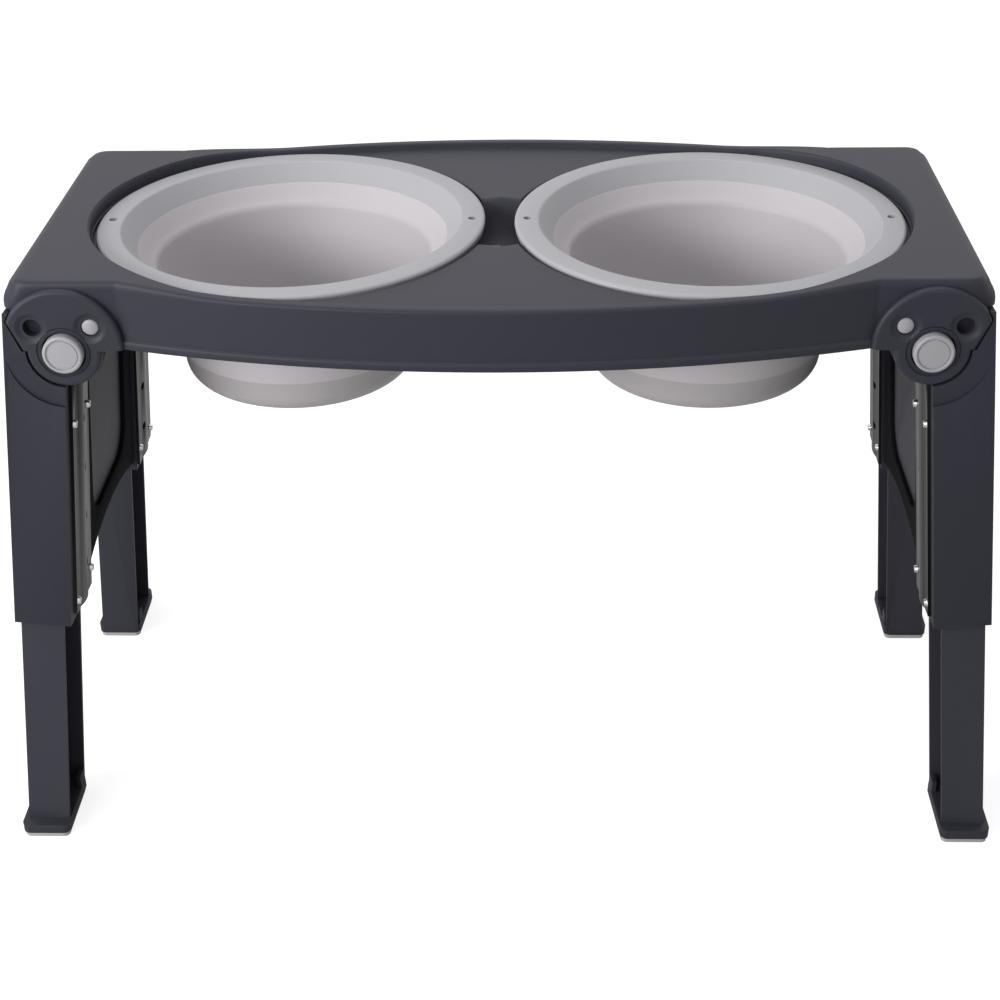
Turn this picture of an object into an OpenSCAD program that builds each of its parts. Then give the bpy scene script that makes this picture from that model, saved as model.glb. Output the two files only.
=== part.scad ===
// Raised dog feeder: a tray with two collapsible bowls on two folding leg frames
// whose lower legs telescope. Millimetres, +Z up, origin on the floor under the
// middle of the tray, front towards -Y.

/* [Tray] */
// Width of the tray
tray_w = 600; // [570:5:660]
// Depth of the tray at its corners
tray_corner_d = 236; // [230:2:250]
// Depth of the tray in the middle of its curved front and back
tray_mid_d = 302; // [294:2:330]
// Height of the tray's top in the middle above the floor, legs drawn out
tray_top = 400; // [380:2:402]
// How far the tray's ends rise above its middle
corner_rise = 4.5; // [3:0.5:5]
// Height of the curved front and back aprons
apron_h = 39; // [37:0.5:39]
// Depth of the skirt along the tray's short sides
skirt_h = 15; // [12:1:15]
// Thickness of the tray's walls
tray_wall = 3; // [2.4:0.2:3.6]
// Half length of the curved stretch of each apron
curve_half = 228; // [210:2:240]
// Radius of the tray's upright corner edges
tray_corner_r = 14; // [6:1:20]
// Depth of the basin round both bowls
basin_depth = 4; // [2:0.5:5]
// Depth of each bowl seat below the basin
seat_depth = 3; // [2:0.5:4]
// Height of the bead along an apron's lower edge
bead_h = 5; // [3:0.5:8]
// How far the bead stands out
bead_out = 1.5; // [0.5:0.5:3]

/* [Bowls] */
// Distance between the bowls' centres
bowl_pitch = 272; // [266:1:278]
// Outer radius of a bowl's rim
rim_r = 127; // [122:0.5:128]
// Width of the flat rim
rim_w = 17.5; // [14:0.5:20]
// Thickness of the rim
rim_t = 5; // [3.5:0.5:6]
// Depth of the rim's collar below its flat
rim_collar = 7; // [5:1:9]
// Overall depth of a popped-out bowl
bowl_depth = 100; // [94:1:110]
// Depth of the rigid dish at the bottom of a bowl
dish_depth = 24; // [18:1:24]
// Radius of the rigid dish at its mouth
dish_r = 80; // [70:1:86]
// Radius of the dish's lower edge
dish_edge_r = 15; // [13:1:18]
// Width of the soft wall's sloping upper band
band_w = 14; // [10:1:16]
// Height of that band
band_h = 9; // [6:1:12]
// Thickness of the soft wall
soft_t = 2; // [1.6:0.2:2.4]
// Radius of the small holes in the rim
rim_hole_r = 2; // [1:0.25:3]

/* [Legs] */
// Sideways lean of a leg frame
splay = 5.5; // [3:0.5:6]
// Lean of a leg to the front or back
rake = 3.8; // [1:0.2:4.4]
// Distance from the tray's end to a leg frame's pivot
pivot_in = 37; // [36:0.5:39]
// Distance from the tray's top to the pivot
pivot_drop = 40; // [40:0.5:42]
// Depth of an upper leg from front to back
leg_d = 54; // [50:1:56]
// Length of an upper leg below the pivot
upper_len = 196; // [185:1:205]
// Thickness of the leg's walls
leg_wall = 3; // [2.4:0.2:3.4]
// Height of the frame's outer wall above the pivot
leg_rise = 20; // [12:1:20]
// Distance from the pivot to the top of the panel's arch
arch_top = 177; // [150:1:178]
// Half width of the arch between the legs
arch_half = 80; // [70:1:84]
// Rise of the arch
arch_rise = 15; // [8:1:16]
// Telescoping travel of a lower leg
leg_travel = 105; // [104:1:112]
// Number of height settings
settings = 4; // [3:1:5]
// Width of a lower leg from side to side
lower_w = 28; // [25:0.5:28]
// Running gap round a lower leg
leg_gap = 0.3; // [0.3:0.1:0.5]
// Width of a foot
foot_w = 33; // [31:1:36]
// Length of a foot from front to back
foot_d = 56; // [54:1:62]
// Thickness of a foot
foot_t = 7; // [5:0.5:9]
// Thickness of the non-slip sole
sole_t = 4; // [2:0.5:5]

/* [Pivots and locks] */
// Radius of the round ear on the tray
ear_r = 37; // [36:0.5:37]
// How far an ear stands out from the tray's corner
ear_out = 4.5; // [3.5:0.5:6]
// Radius of the boss round the button
boss_r = 23; // [22:0.5:24]
// Radius of the hub behind the boss
hub_r = 23.5; // [22.5:0.5:24]
// Outer radius of the pivot bush
bush_r = 16; // [15.5:0.1:16.5]
// Radius of the push button
button_r = 13; // [11:0.5:13]
// How far the button stands out from the ear
button_out = 5.7; // [5.5:0.1:7]
// Travel of the push button
button_travel = 5.2; // [4.5:0.1:5.4]
// Distance from the pivot to the lock pin
pin_off = 24; // [24:0.5:25.5]
// Radius of the lock pin
pin_r = 5.2; // [4:0.2:5.2]
// Running clearance of turning and sliding fits
fit_gap = 0.1; // [0.05:0.01:0.1]
// Clearance between faces that pass each other
face_gap = 0.3; // [0.2:0.05:0.4]

/* [Hidden] */
$fn = 96;
pivot_x = tray_w / 2 - pivot_in;
pivot_z = tray_top - pivot_drop;
leg_w = pivot_in;
curve_sag = (tray_mid_d - tray_corner_d) / 2;
curve_r = (curve_half * curve_half + curve_sag * curve_sag) / (2 * curve_sag);
bowl_x = bowl_pitch / 2;
seat_z = tray_top - basin_depth - seat_depth;
plate_z = seat_z - tray_wall;
rim_gap = 3;
seat_r = rim_r + rim_gap;
basin_margin = 8;
basin_end_gap = 2.5;
basin_end_r = seat_r + basin_end_gap;
rise_from = 150;
rise_to = 235;
collar_step = 0.5;
collar_t = 2.2;
collar_r = rim_r - rim_w + collar_step;
hole_gap = 0.8;
hole_r = collar_r + hole_gap;
guard_r = hole_r + tray_wall;
guard_h = 15;
seat_gap = 0.2;
rim_z = seat_z + seat_gap;
rim_edge_r = 2.2;
rim_lip_r = 1.5;
rim_flare = 1.7;
bowl_floor = rim_z - bowl_depth;
dish_wall = soft_t + 1;
dish_draft = 2;
dish_top = bowl_floor + dish_depth;
rim_in_r = rim_r - rim_w;
ledge_w = 4;
ledge_h = 3;
scoop_w = 30;
scoop_l = 78;
scoop_depth = 13;
scoop_r = (scoop_l * scoop_l / 4 + scoop_depth * scoop_depth) / (2 * scoop_depth);
scoop_wall = 2.5;

face_y = -tray_corner_d / 2;
ear_y = face_y - ear_out;
ear_back = face_y + tray_wall;
ear_skin = 3.2;
ear_lift = 0.4;
ear_up = 4;
groove_gap = 0.7;
groove_more = 4;
hub_y = ear_back + face_gap;
hub_wall = 3;
pocket_y = hub_y + hub_wall;
hub_pin_r = pin_r + 4.6;
pocket_in = 3;
stop_angle = 22.7;
bush_in_r = button_r + face_gap;
bush_flange_r = pin_off - pin_r - 1.4;
bush_flange_t = 1;
bush_sunk = 0.3;
slide_y = pocket_y + bush_flange_t + face_gap;
slide_t = 3;
spring_low = 3.8;
cap_t = 2;
cap_in = 0.4;
cap_y = slide_y + slide_t + spring_low + button_travel;
hub_back = cap_y + cap_t + cap_in;
spring_r = 8;
spring_t = 1.5;
pin_tip = ear_y + ear_skin + face_gap;
pin_nose = 1.2;
pin_nose_in = 1.8;
pin_gap = 0.4;
ear_gap = 0.6;
step_in = 0.5;
fold_angle = 90 + splay;
hole_in = 90 - fold_angle / 2;
hole_out = 90 + fold_angle / 2;
pin_angle = hole_in + splay;
dish_hole_r = 9.6;
dish_hole_t = 1.6;

leg_in = 0.5;
leg_y = -(ear_y + leg_in + leg_d / 2);
lip_front = 16;
lip_back = 8;
lower_x0 = -leg_w + leg_wall + leg_gap;
lower_half = leg_d / 2 - leg_wall - leg_gap;
channel_top = -35.5;
lower_stop = 3.5;
lower_top = channel_top - lower_stop - leg_travel;
lower_mid_x = lower_x0 + lower_w / 2;
foot_reach = (pivot_z - lower_mid_x * sin(splay)) / (cos(splay) * cos(rake));
foot_ahead = 3.5;
foot_r = 5;
tab_l = 10;
tab_h = 9;
tab_in = 5;
sole_in = 1;
bridge_h = 38;
latch_down = 22;
latch_r = 2.6;
latch_y = 10;
latch_plate = [1.5, 12, 20];
latch_hang = 14;
latch_under = 0.1;
cover_top = -26;
cover_end = -192;
cover_front = -17;
cover_back = 25;
cover_t = 2;
bulge_half = 15.5;
bulge_y = 4;
bulge_out = 3.5;
bulge_r = (bulge_half * bulge_half + bulge_out * bulge_out) / (2 * bulge_out);
setting_pitch = leg_travel / (settings - 1);
screws = [[-14.2, -55], [22.3, -57], [22.3, -178], [-14.2, -183]];
screw_r = 1.4;
screw_head_r = 2.8;
screw_head_t = 1.9;
screw_len = 5;
arch_r = (arch_half * arch_half + arch_rise * arch_rise) / (2 * arch_rise);
web_t = 3;
panel_t = 2.2;
panel_top = 10;
panel_edge = leg_wall / 2;
web_top = -24;
web_in = 2;
web_up = 1.2;
tongue_half = 52;
tongue_end = -160;
tongue_r = 22;
back_open = 3;
over = 1;

CORNERS = ["front_left", "front_right", "rear_left", "rear_right"];
SIDES = ["left", "right"];

// Points of an arc about a centre, from one angle to another
function arc(cx, cy, r, from, to, steps = 8) =
    [for (i = [0:steps]) let (a = from + (to - from) * i / steps) [cx + r * cos(a), cy + r * sin(a)]];

function is_right(c) = c == "front_right" || c == "rear_right" || c == "right";
function is_rear(c) = c == "rear_left" || c == "rear_right";

module flip_x(on) {
    if (on) mirror([1, 0, 0]) children();
    else children();
}

module flip_y(on) {
    if (on) mirror([0, 1, 0]) children();
    else children();
}

// A front left piece, mirrored to the named corner or side
module at_place(c) {
    flip_x(is_right(c)) flip_y(is_rear(c)) children();
}

// The left leg frame's own frame: origin at the pivot, leaning outwards
module in_leg_frame() {
    translate([-pivot_x, 0, pivot_z]) rotate([0, splay, 0]) children();
}

// The front leg's own frame inside the leg frame: leaning forwards
module in_leg() {
    translate([0, -leg_y, 0]) rotate([-rake, 0, 0]) children();
}

// A round rod along Y between two places
module y_rod(r, y0, y1) {
    translate([0, y0, 0]) rotate([-90, 0, 0]) cylinder(r = r, h = y1 - y0);
}

module rounded_rect(w, d, r) {
    square([w - 2 * r, d], center = true);
    square([w, d - 2 * r], center = true);
    for (x = [-1, 1]) for (y = [-1, 1]) translate([x * (w / 2 - r), y * (d / 2 - r)]) circle(r);
}

// Outline of the tray seen from above, drawn in by an inset
module tray_outline(inset) {
    rounded_rect(tray_w - 2 * inset, tray_corner_d - 2 * inset, tray_corner_r - inset);
    intersection() {
        translate([0, curve_r - tray_mid_d / 2]) circle(curve_r - inset, $fn = 360);
        translate([0, tray_mid_d / 2 - curve_r]) circle(curve_r - inset, $fn = 360);
        square([tray_w - 2 * tray_corner_r, 2 * tray_mid_d], center = true);
    }
}

module basin_outline() {
    intersection() {
        tray_outline(basin_margin);
        union() {
            for (x = [-1, 1]) translate([x * bowl_x, 0]) circle(basin_end_r);
            square([bowl_pitch, tray_mid_d], center = true);
        }
    }
}

// A trough between the bowls, where fingers reach under the rims
module scoop(grow) {
    intersection() {
        translate([-scoop_w / 2 - grow, 0, tray_top - basin_depth + scoop_r - scoop_depth])
            rotate([0, 90, 0]) cylinder(r = scoop_r + grow, h = scoop_w + 2 * grow);
        translate([0, 0, tray_top - basin_depth - scoop_depth])
            cube([tray_w, 2 * scoop_l, 2 * (scoop_depth + (grow > 0 ? 0 : over)) ], center = true);
    }
}

// Face of a front left ear about the pivot: a round top over a round boss, cut off along the
// two lines where the leg frame stops, folded in and stood out
module ear_face(grow) {
    circle(boss_r + grow);
    intersection() {
        translate([0, ear_up]) circle(ear_r + grow);
        rotate(stop_angle) translate([-boss_r - grow, -2 * ear_r]) square(4 * ear_r);
        translate([-2 * ear_r, pivot_drop - apron_h + ear_lift - grow]) square(4 * ear_r);
    }
}

// A face drawn in X and Z, carried along Y between two places
module y_plate(y0, y1) {
    translate([0, y1, 0]) rotate([90, 0, 0]) linear_extrude(y1 - y0) children();
}

// Ear that carries a leg frame's pivot, front left
module ear() {
    translate([-pivot_x, 0, pivot_z]) y_plate(ear_y, ear_back) ear_face(0);
}

// Pivot bore, the two lock holes and the hidden groove that the pin runs in
module ear_cuts() {
    translate([-pivot_x, 0, pivot_z]) {
        y_rod(bush_r + fit_gap, ear_y - over, ear_back + over);
        for (a = [hole_in, hole_out]) rotate([0, -a, 0]) translate([pin_off, 0, 0]) {
            y_rod(pin_r + pin_gap, ear_y - over, ear_back + over);
            translate([0, ear_y - 0.01, 0]) rotate([-90, 0, 0])
                cylinder(r1 = dish_hole_r, r2 = pin_r + pin_gap, h = dish_hole_t);
        }
        rotate([0, groove_more - hole_in, 0]) translate([0, ear_back + over, 0]) rotate([90, 0, 0])
            rotate_extrude(angle = fold_angle + 2 * groove_more)
                translate([pin_off - pin_r - groove_gap, 0])
                    square([2 * (pin_r + groove_gap), ear_back + over - ear_y - ear_skin]);
    }
}

// Space above the tray's middle, between the ends that rise
module above_middle() {
    y_plate(-tray_mid_d, tray_mid_d) polygon([
        [-rise_from, tray_top], [rise_from, tray_top], [rise_to, tray_top + corner_rise],
        [rise_to + over, 2 * tray_top], [-rise_to - over, 2 * tray_top], [-rise_to, tray_top + corner_rise]]);
}

// Moulded tray: top with basin and bowl seats, curved aprons, short side skirts and ears
module tray() {
    color("dimgray") difference() {
        union() {
            difference() {
                union() {
                    translate([0, 0, tray_top - skirt_h]) linear_extrude(skirt_h + corner_rise) tray_outline(0);
                    translate([0, 0, tray_top - apron_h]) linear_extrude(apron_h - basin_depth) intersection() {
                        tray_outline(0);
                        square([2 * pivot_x, tray_mid_d], center = true);
                    }
                    translate([0, 0, tray_top - apron_h]) linear_extrude(bead_h) intersection() {
                        tray_outline(-bead_out);
                        square([2 * pivot_x, 2 * tray_mid_d], center = true);
                    }
                }
                difference() {
                    translate([0, 0, tray_top - apron_h - over])
                        linear_extrude(plate_z - tray_top + apron_h + over) tray_outline(tray_wall);
                    for (x = [-1, 1]) translate([x * bowl_x, 0, plate_z - guard_h])
                        cylinder(r = guard_r, h = guard_h + over);
                    scoop(scoop_wall);
                }
            }
            for (c = CORNERS) at_place(c) ear();
        }
        above_middle();
        translate([0, 0, tray_top - basin_depth]) linear_extrude(basin_depth + corner_rise + over) basin_outline();
        for (x = [-1, 1]) translate([x * bowl_x, 0, 0]) {
            translate([0, 0, seat_z]) cylinder(r = seat_r, h = tray_top);
            translate([0, 0, plate_z - guard_h - over]) cylinder(r = hole_r, h = guard_h + tray_top);
        }
        scoop(0);
        for (c = CORNERS) at_place(c) {
            ear_cuts();
            translate([-pivot_x - ear_r / 2, ear_back, plate_z - over])
                cube([ear_r, hub_back - ear_back + over, tray_top - tray_wall - plate_z + over]);
        }
    }
}

// Rigid rim ring of a bowl, with its collar and two small holes
module bowl_rim(side) {
    flip_x(is_right(side)) color("lightgray") translate([-bowl_x, 0, rim_z]) difference() {
        rotate_extrude($fn = 160) polygon(concat(
            [[collar_r - collar_t, -rim_collar], [collar_r, -rim_collar], [collar_r, 0], [rim_r, 0]],
            arc(rim_r - rim_edge_r, rim_t - rim_edge_r, rim_edge_r, 0, 90, 6),
            arc(rim_in_r + rim_lip_r, rim_t - rim_lip_r, rim_lip_r, 90, 180, 6),
            [[rim_in_r - rim_flare, 0]]));
        for (x = [-1, 1]) translate([x * (rim_in_r + rim_w / 2), 0, -over])
            cylinder(r = rim_hole_r, h = rim_t + 2 * over, $fn = 32);
    }
}

// Soft folding wall between the rim's collar and the dish
module bowl_wall(side) {
    top = rim_z - rim_collar - face_gap;
    low = dish_top + face_gap;
    ledge_r = collar_r - band_w;
    ledge_z = top - band_h;
    outer = [[collar_r, top], [ledge_r, ledge_z], [ledge_r - ledge_w, ledge_z - ledge_h], [dish_r, low]];
    inner = [[dish_r - soft_t, low], [ledge_r - ledge_w - soft_t, ledge_z - ledge_h], [ledge_r - soft_t, ledge_z],
        [collar_r - soft_t, top]];
    flip_x(is_right(side)) color("gainsboro") translate([-bowl_x, 0, 0])
        rotate_extrude($fn = 160) polygon(concat(outer, inner));
}

// Rigid dish at the bottom of a bowl
module bowl_dish(side) {
    flip_x(is_right(side)) color("silver") translate([-bowl_x, 0, bowl_floor])
        rotate_extrude($fn = 160) polygon(concat(
            [[0, 0]],
            arc(dish_r - dish_draft - dish_edge_r, dish_edge_r, dish_edge_r, -90, 0, 8),
            [[dish_r, dish_depth], [dish_r - dish_wall, dish_depth]],
            arc(dish_r - dish_draft - dish_edge_r, dish_edge_r, dish_edge_r - dish_wall, 0, -90, 8),
            [[0, dish_wall]]));
}

// Channel of an upper leg, open on its inner side between two lips
module upper_channel() {
    difference() {
        translate([-leg_w, -leg_d / 2, -upper_len]) cube([leg_w, leg_d, upper_len + leg_rise]);
        translate([-leg_w + leg_wall, -leg_d / 2 + leg_wall, -upper_len - over])
            cube([leg_w - 2 * leg_wall, leg_d - 2 * leg_wall, upper_len + over + channel_top]);
        translate([-leg_wall - over, -leg_d / 2 + lip_front, -upper_len - over])
            cube([leg_wall + 2 * over, leg_d - lip_front - lip_back, upper_len + over + channel_top]);
        for (s = screws) translate([-leg_wall - over, s[0], s[1]]) rotate([0, 90, 0])
            cylinder(r = screw_r + fit_gap, h = leg_wall + 2 * over, $fn = 24);
    }
}

// Half the width between the two legs at a height, drawn into their walls by edge_in
function between_legs(z, edge_in) = leg_y - (leg_d / 2 - edge_in) / cos(rake) - z * tan(rake);

// Shape of the side panel between the two legs, in Y and Z
module panel_outline(top, edge_in, arch_grow) {
    bottom = -arch_top - arch_rise;
    top_half = between_legs(top, edge_in);
    low_half = between_legs(bottom, edge_in);
    difference() {
        polygon([[-top_half, top], [top_half, top], [low_half, bottom], [-low_half, bottom]]);
        translate([0, -arch_top - arch_r]) circle(arch_r + arch_grow, $fn = 180);
    }
}

// Outline of the hub and of its pocket: a round middle and an arm that holds the pin
module hub_face(inset) {
    circle(hub_r - inset);
    rotate(pin_angle) {
        translate([pin_off, 0]) circle(hub_pin_r - inset);
        translate([0, inset - hub_pin_r]) square([pin_off, 2 * (hub_pin_r - inset)]);
    }
}

// One leg frame's shell: two upper legs, their hubs and the side panel, moulded together
module leg_shell(side) {
    flip_x(is_right(side)) color("dimgray") in_leg_frame() difference() {
        union() {
            for (back = [false, true]) flip_y(back) {
                in_leg() upper_channel();
                y_plate(hub_y, hub_back) hub_face(0);
            }
            translate([-web_in - web_t - panel_t, 0, 0]) rotate([90, 0, 90]) linear_extrude(panel_t)
                panel_outline(panel_top, panel_edge, 0);
        }
        for (back = [false, true]) flip_y(back) {
            rotate([0, -splay, 0]) y_plate(ear_y - leg_d, hub_y) ear_face(ear_gap);
            y_rod(ear_r - step_in, ear_y - leg_d, ear_y);
            y_rod(bush_r + fit_gap / 2, hub_y - over, pocket_y + over);
            y_plate(pocket_y, hub_back + over) hub_face(pocket_in);
            rotate([0, -pin_angle, 0]) translate([pin_off, 0, 0])
                y_rod(pin_r + pin_gap, hub_y - over, pocket_y + over);
            translate([leg_wall - leg_w, hub_back, -hub_r])
                cube([leg_w, leg_d / 2 + back_open - leg_y - hub_back, hub_r + leg_rise - leg_wall]);
        }
    }
}

// Dark inner web over the side panel, with a tongue-shaped window
module leg_web(side) {
    flip_x(is_right(side)) color("black") in_leg_frame() translate([-web_in - web_t, 0, 0])
        rotate([90, 0, 90]) linear_extrude(web_t) difference() {
            panel_outline(web_top, -face_gap, web_up);
            for (w = [-1, 1]) translate([w * (tongue_half - tongue_r), tongue_end + tongue_r]) circle(tongue_r);
            translate([tongue_r - tongue_half, tongue_end]) square([2 * (tongue_half - tongue_r), tongue_r + over]);
            translate([-tongue_half, tongue_end + tongue_r])
                square([2 * tongue_half, web_top + over - tongue_end - tongue_r]);
        }
}

// Bulged inner cover of an upper leg, with a row of setting marks
module leg_cover(c) {
    at_place(c) color("black") in_leg_frame() in_leg() difference() {
        translate([0, 0, cover_end]) linear_extrude(cover_top - cover_end) difference() {
            union() {
                translate([0, cover_front]) square([cover_t, cover_back - cover_front]);
                intersection() {
                    translate([bulge_out - bulge_r, bulge_y]) circle(bulge_r);
                    translate([0, bulge_y - bulge_half]) square([bulge_out, 2 * bulge_half]);
                }
            }
            translate([bulge_out - bulge_r, bulge_y]) circle(bulge_r - cover_t);
        }
        for (i = [0:settings - 1]) translate([0, latch_y, lower_top - latch_down + i * setting_pitch])
            rotate([0, 90, 0]) cylinder(r = latch_r + pin_gap, h = bulge_out + over, $fn = 32);
        for (s = screws) translate([-over, s[0], s[1]]) rotate([0, 90, 0])
            cylinder(r = screw_r + fit_gap, h = cover_t + 2 * over, $fn = 24);
    }
}

// Cross-head screws that hold a leg cover
module cover_screws(c) {
    at_place(c) color("silver") in_leg_frame() in_leg()
        for (s = screws) translate([cover_t, s[0], s[1]]) rotate([0, 90, 0]) difference() {
            union() {
                cylinder(r1 = screw_head_r, r2 = screw_head_r - 0.6, h = screw_head_t, $fn = 32);
                translate([0, 0, -screw_len]) cylinder(r = screw_r, h = screw_len + 0.1, $fn = 24);
            }
            for (a = [0, 90]) rotate(a) translate([0, 0, screw_head_t])
                cube([2 * screw_r, 0.7, screw_head_t], center = true);
        }
}

// Points at floor level under a lower leg, with the lean taken out again
module on_floor() {
    translate([lower_mid_x, 0, -foot_reach]) rotate([rake, 0, 0]) rotate([0, -splay, 0]) children();
}

// Telescoping lower leg: a channel open inwards, a bridge for the latch and the foot
module lower_leg(c) {
    ground = sole_t + foot_t / 2;
    at_place(c) color("dimgray") in_leg_frame() in_leg() difference() {
        union() {
            difference() {
                translate([lower_x0, -lower_half, -foot_reach + ground])
                    cube([lower_w, 2 * lower_half, foot_reach + lower_top - ground]);
                translate([lower_x0 + leg_wall, -lower_half + leg_wall, -foot_reach])
                    cube([lower_w, 2 * (lower_half - leg_wall), foot_reach]);
            }
            translate([lower_x0 + lower_w - leg_wall, -lower_half, lower_top - bridge_h])
                cube([leg_wall, 2 * lower_half, bridge_h]);
            on_floor() translate([0, -foot_ahead, sole_t]) linear_extrude(foot_t)
                rounded_rect(foot_w, foot_d, foot_r);
            on_floor() translate([foot_w / 2 - leg_wall, foot_d / 2 - foot_ahead - tab_in - tab_l,
                sole_t + foot_t - over]) cube([leg_wall, tab_l, tab_h + over]);
        }
        translate([0, latch_y, lower_top - latch_down]) rotate([0, -90, 0])
            cylinder(r = latch_r + fit_gap, h = leg_w / 2, $fn = 32);
    }
}

// Spring nub that marks the height setting
module leg_latch(c) {
    tip = -leg_wall - leg_gap - latch_under;
    back = lower_x0 + lower_w - leg_wall;
    at_place(c) color("silver") in_leg_frame() in_leg() translate([0, latch_y, lower_top - latch_down]) {
        translate([back, 0, 0]) rotate([0, 90, 0]) cylinder(r = latch_r, h = tip - back, $fn = 32);
        translate([back - latch_plate[0], -latch_plate[1] / 2, -latch_hang]) cube(latch_plate);
    }
}

// Pale non-slip sole under a foot
module foot_sole(c) {
    at_place(c) color("lightgray") in_leg_frame() in_leg() on_floor() translate([0, -foot_ahead, 0])
        linear_extrude(sole_t) rounded_rect(foot_w - 2 * sole_in, foot_d - 2 * sole_in, foot_r - sole_in);
}

// Bush in the hub that turns in the ear's bore and guides the button
module pivot_bush(c) {
    at_place(c) color("gray") in_leg_frame() difference() {
        union() {
            y_rod(bush_r, ear_y + bush_sunk, pocket_y + bush_flange_t / 2);
            y_rod(bush_flange_r, pocket_y, pocket_y + bush_flange_t);
        }
        y_rod(bush_in_r, ear_y - 3 * over, pocket_y + bush_flange_t + over);
    }
}

// Round push button in the middle of the pivot
module lock_button(c) {
    front = ear_y - button_out;
    edge = 1.5;
    hollow = 0.4;
    hollow_r = button_r - 3.6;
    at_place(c) color("lightgray") in_leg_frame() translate([0, slide_y, 0]) rotate([90, 0, 0])
        rotate_extrude() polygon(concat([[0, 0], [button_r, 0]],
            arc(button_r - edge, slide_y - front - edge, edge, 0, 90, 5),
            [[hollow_r, slide_y - front - hollow], [0, slide_y - front - hollow]]));
}

// Slide behind the button that carries the lock pin
module lock_slide(c) {
    at_place(c) color("lightgray") in_leg_frame() {
        y_rod(button_r - 1, slide_y, slide_y + slide_t);
        rotate([0, -pin_angle, 0]) {
            translate([0, slide_y, -pin_r]) cube([pin_off, slide_t, 2 * pin_r]);
            translate([pin_off, 0, 0]) {
                y_rod(pin_r, pin_tip + pin_nose, slide_y + slide_t);
                translate([0, pin_tip, 0]) rotate([-90, 0, 0])
                    cylinder(r1 = pin_r - pin_nose_in, r2 = pin_r, h = pin_nose);
            }
        }
    }
}

// Return spring between the slide and the cap
module lock_spring(c) {
    at_place(c) color("silver") in_leg_frame() difference() {
        y_rod(spring_r, slide_y + slide_t, cap_y);
        y_rod(spring_r - spring_t, slide_y, hub_back);
    }
}

// Cap that closes the hub's pocket
module lock_cap(c) {
    at_place(c) color("dimgray") in_leg_frame() y_plate(cap_y, cap_y + cap_t) hub_face(pocket_in + fit_gap);
}

tray();
for (s = SIDES) {
    bowl_rim(s);
    bowl_wall(s);
    bowl_dish(s);
    leg_shell(s);
    leg_web(s);
}
for (c = CORNERS) {
    leg_cover(c);
    cover_screws(c);
    lower_leg(c);
    leg_latch(c);
    foot_sole(c);
    pivot_bush(c);
    lock_button(c);
    lock_slide(c);
    lock_spring(c);
    lock_cap(c);
}
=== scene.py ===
from math import cos, pi, radians, sin

import bmesh
import bpy
import numpy as np
from mathutils import Matrix, Vector


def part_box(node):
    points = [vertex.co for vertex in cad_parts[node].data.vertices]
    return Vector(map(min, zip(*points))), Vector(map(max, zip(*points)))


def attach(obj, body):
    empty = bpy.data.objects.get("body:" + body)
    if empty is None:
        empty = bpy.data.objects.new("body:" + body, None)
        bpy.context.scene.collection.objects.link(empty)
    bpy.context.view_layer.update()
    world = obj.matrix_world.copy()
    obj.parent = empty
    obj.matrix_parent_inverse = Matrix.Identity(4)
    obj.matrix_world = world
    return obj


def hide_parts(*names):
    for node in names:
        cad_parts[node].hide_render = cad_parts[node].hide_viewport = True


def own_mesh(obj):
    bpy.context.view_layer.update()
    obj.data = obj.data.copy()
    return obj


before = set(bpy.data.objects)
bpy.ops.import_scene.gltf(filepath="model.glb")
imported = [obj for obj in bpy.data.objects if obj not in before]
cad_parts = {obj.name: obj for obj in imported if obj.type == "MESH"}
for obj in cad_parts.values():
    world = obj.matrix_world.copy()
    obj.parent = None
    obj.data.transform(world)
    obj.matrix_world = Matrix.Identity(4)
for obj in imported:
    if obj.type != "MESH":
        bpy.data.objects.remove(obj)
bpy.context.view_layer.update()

# Camera of a catalogue picture: a little above the tray, straight on, from just over a metre away.
# The values were fitted to the edges of the tray, the rims and the feet.
camera_at = (0.03515, -1.10277, 0.83098)
camera_pitch, camera_yaw, camera_roll = 0.5297, 0.0345, -0.0164
focal_px, image_px, sensor_mm = 1794.5, 1000, 36.0
level_right = np.array([cos(camera_yaw), sin(camera_yaw), 0.0])
level_ahead = np.array([-sin(camera_yaw), cos(camera_yaw), 0.0])
straight_up = np.array([0.0, 0.0, 1.0])
ahead = cos(camera_pitch) * level_ahead - sin(camera_pitch) * straight_up
level_up = sin(camera_pitch) * level_ahead + cos(camera_pitch) * straight_up
camera_right = cos(camera_roll) * level_right + sin(camera_roll) * level_up
camera_up = cos(camera_roll) * level_up - sin(camera_roll) * level_right
camera_data = bpy.data.cameras.new("camera")
camera_data.sensor_width = sensor_mm
camera_data.lens = sensor_mm * focal_px / image_px
camera = bpy.data.objects.new("camera", camera_data)
stance = np.eye(4)
stance[:3] = np.stack([camera_right, camera_up, -ahead, camera_at], axis=1)
camera.matrix_world = Matrix(stance.tolist())
bpy.context.scene.collection.objects.link(camera)
bpy.context.scene.camera = camera
bpy.context.scene.view_settings.view_transform = "Standard"

# Studio: a pale sweep of paper under the stand, white where the camera sees it unshaded, a soft surround,
# a wide box of light overhead, a low strip at the front left and a box at the left.
floor_half = 6.0
paper_bounce_grey, paper_seen_grey, paper_glow_strength = 0.8, 0.5, 0.80
sky_strength = 0.38
lamp_aim = Vector((0, 0, 0.3))
lamps = (("lamp_top", (-0.2, 0.2, 1.9), (1.8, 1.8), 13.0),
         ("lamp_front", (-1.0, -1.5, 0.95), (1.2, 0.35), 12.5),
         ("lamp_left", (-1.9, -1.0, 1.0), (1.0, 1.0), 21.0))
floor_mesh = bpy.data.meshes.new("studio_floor")
floor_corners = [(-floor_half, -floor_half, 0), (floor_half, -floor_half, 0),
                 (floor_half, floor_half, 0), (-floor_half, floor_half, 0)]
floor_mesh.from_pydata(floor_corners, [], [(0, 1, 2, 3)])
floor = bpy.data.objects.new("studio_floor", floor_mesh)
bpy.context.scene.collection.objects.link(floor)
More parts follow.
